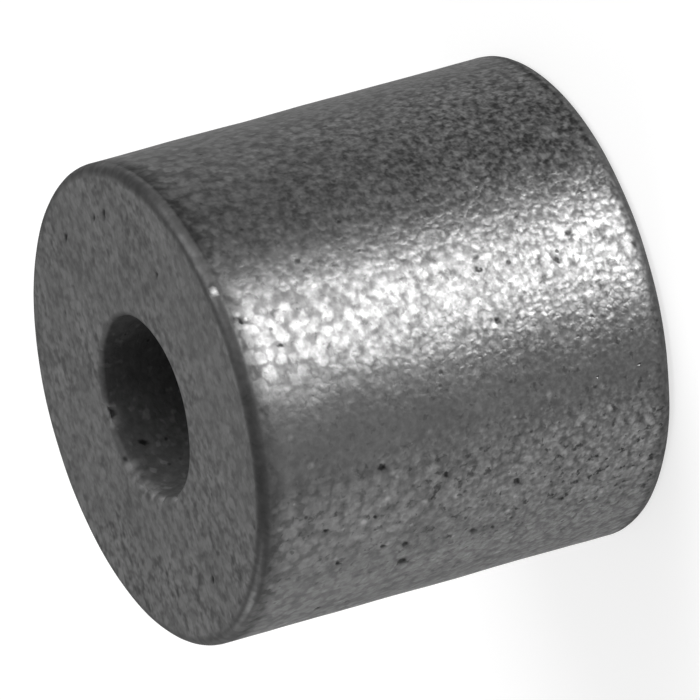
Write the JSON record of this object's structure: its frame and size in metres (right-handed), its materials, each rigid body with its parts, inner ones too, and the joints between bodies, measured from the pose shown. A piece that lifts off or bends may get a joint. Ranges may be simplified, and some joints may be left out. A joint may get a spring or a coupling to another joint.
{
  "type": "ferrite core",
  "caption": "Plain cylindrical ferrite sleeve with a round bore along its axis and rounded rims; damps high-frequency noise on a wire passed through it.",
  "frame": {"origin": "centre of the bottom end face, on the axis of the bore", "axes": "+Z along the bore, from the end it stands on to the upper end"},
  "size_m": [0.0034, 0.0034, 0.0033],
  "materials": {
    "ferrite": "dark grey sintered ferrite, uncoated: fine granular skin with a soft gloss on the outside, matt end faces"
  },
  "bodies": {
    "root": {"ferrite_core": "ferrite"}
  },
  "joints": []
}
